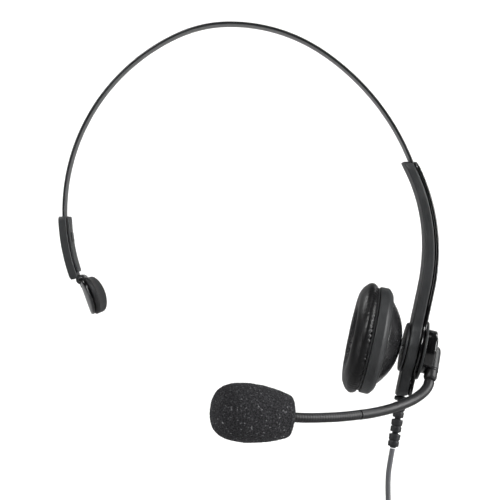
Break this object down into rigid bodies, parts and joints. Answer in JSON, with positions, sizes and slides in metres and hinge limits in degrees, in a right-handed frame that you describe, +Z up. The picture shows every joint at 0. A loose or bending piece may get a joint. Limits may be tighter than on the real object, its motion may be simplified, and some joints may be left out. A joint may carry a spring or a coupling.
{
  "type": "headset",
  "caption": "Single-ear office headset: sprung headband, ear cup with soft cushion, temple pad, bendable boom microphone with foam windscreen, and a cable with a round plug.",
  "frame": {"origin": "underside of the headband at the crown, in the middle of its width", "axes": "+X towards the ear cup's side, +Y towards the back of the head, +Z up"},
  "size_m": [0.1716, 0.0985, 0.3101],
  "materials": {
    "spring_steel_black": "satin black coating on spring steel",
    "shell_black": "fine-textured moulded ABS",
    "gloss_black": "polished moulded ABS",
    "rubber_black": "matte soft PVC",
    "gooseneck_black": "matte sleeve with fine rings",
    "bright_steel": "bright nickel plate",
    "spring_steel": "plain spring steel",
    "copper_wire": "enamelled copper wire",
    "nylon": "natural nylon",
    "film": "thin polyester film",
    "felt_black": "black felt",
    "leatherette": "smooth black leatherette",
    "foam_grey": "open-cell foam",
    "foam_charcoal": "open-cell acoustic foam",
    "cable_grey": "matte grey PVC jacket"
  },
  "bodies": {
    "headband": {"headband_strip": "spring_steel_black", "band_stop_ear": "shell_black", "band_stop_temple": "shell_black"},
    "temple_slider": {"temple_holder": "shell_black", "temple_cover": "shell_black", "temple_pin": "bright_steel"},
    "temple_pad": {"pad_shell": "gloss_black", "pad_cushion": "rubber_black"},
    "arm": {"arm_shell": "shell_black", "arm_cover": "gloss_black", "arm_detent_spring": "spring_steel", "arm_screw_1": "bright_steel", "arm_screw_2": "bright_steel", "arm_wires": "cable_grey", "strain_relief_boot": "rubber_black", "pivot_flange": "shell_black", "ball_stud": "bright_steel", "hub_bezel": "shell_black", "cable": "cable_grey", "cable_coil": "cable_grey", "cable_tie": "rubber_black", "cable_tail": "cable_grey", "plug_boot": "rubber_black", "plug_body": "shell_black", "plug_shank": "bright_steel"},
    "ear_gimbal": {"ball_liner": "nylon"},
    "ear_cup": {"cup_back": "shell_black", "cup_ring": "shell_black", "speaker_frame": "shell_black", "speaker_magnet": "spring_steel", "voice_coil": "copper_wire", "speaker_diaphragm": "film", "speaker_baffle": "shell_black", "cushion_retainer": "shell_black", "acoustic_felt": "felt_black", "cushion_cover": "leatherette", "cushion_foam": "foam_grey"},
    "boom": {"hub_puck": "shell_black", "hub_cap": "gloss_black", "hub_washer": "spring_steel", "hub_screw": "bright_steel", "boom_socket": "shell_black", "socket_collar": "rubber_black", "boom_sleeve": "rubber_black", "gooseneck_1": "gooseneck_black"},
    "flex_1": {"gooseneck_2": "gooseneck_black"},
    "flex_2": {"gooseneck_3": "gooseneck_black"},
    "microphone": {"gooseneck_4": "gooseneck_black", "mic_windscreen": "foam_charcoal", "mic_housing": "shell_black", "mic_capsule": "bright_steel", "mic_felt": "felt_black"}
  },
  "joints": [
    {"name": "arm_slide", "type": "hinge", "parent": "headband", "child": "arm", "pos_m": [-0.01795, 0, -0.10071], "axis": [0, 1, 0], "range_deg": [0, 11.5]},
    {"name": "temple_slide", "type": "hinge", "parent": "headband", "child": "temple_slider", "pos_m": [0.01268, 0, -0.08359], "axis": [0, -1, 0], "range_deg": [0, 8]},
    {"name": "pad_tilt", "type": "hinge", "parent": "temple_slider", "child": "temple_pad", "pos_m": [-0.0665, 0, -0.1142], "axis": [0, 1, 0], "range_deg": [-12, 12]},
    {"name": "ear_tilt", "type": "hinge", "parent": "arm", "child": "ear_gimbal", "pos_m": [0.07266, 0, -0.14333], "axis": [0, 1, 0], "range_deg": [-10, 10]},
    {"name": "ear_swivel", "type": "hinge", "parent": "ear_gimbal", "child": "ear_cup", "pos_m": [0.07266, 0, -0.14333], "axis": [0.2096, 0, 0.9778], "range_deg": [-10, 10]},
    {"name": "boom_turn", "type": "hinge", "parent": "arm", "child": "boom", "pos_m": [0.08723, 0, -0.14645], "axis": [-0.9778, 0, 0.2096], "range_deg": [-12, 112]},
    {"name": "gooseneck_bend", "type": "hinge", "parent": "boom", "child": "flex_1", "pos_m": [0.0488, -0.04115, -0.1721], "axis": [0, 0, 1], "range_deg": [-8, 8]},
    {"name": "gooseneck_bend_middle", "type": "hinge", "parent": "flex_1", "child": "flex_2", "pos_m": [0.0412, -0.04655, -0.172], "axis": [0, 0, 1], "range_deg": [-8, 8]},
    {"name": "gooseneck_bend_front", "type": "hinge", "parent": "flex_2", "child": "microphone", "pos_m": [0.0332, -0.0514, -0.1717], "axis": [0, 0, 1], "range_deg": [-8, 8]}
  ]
}
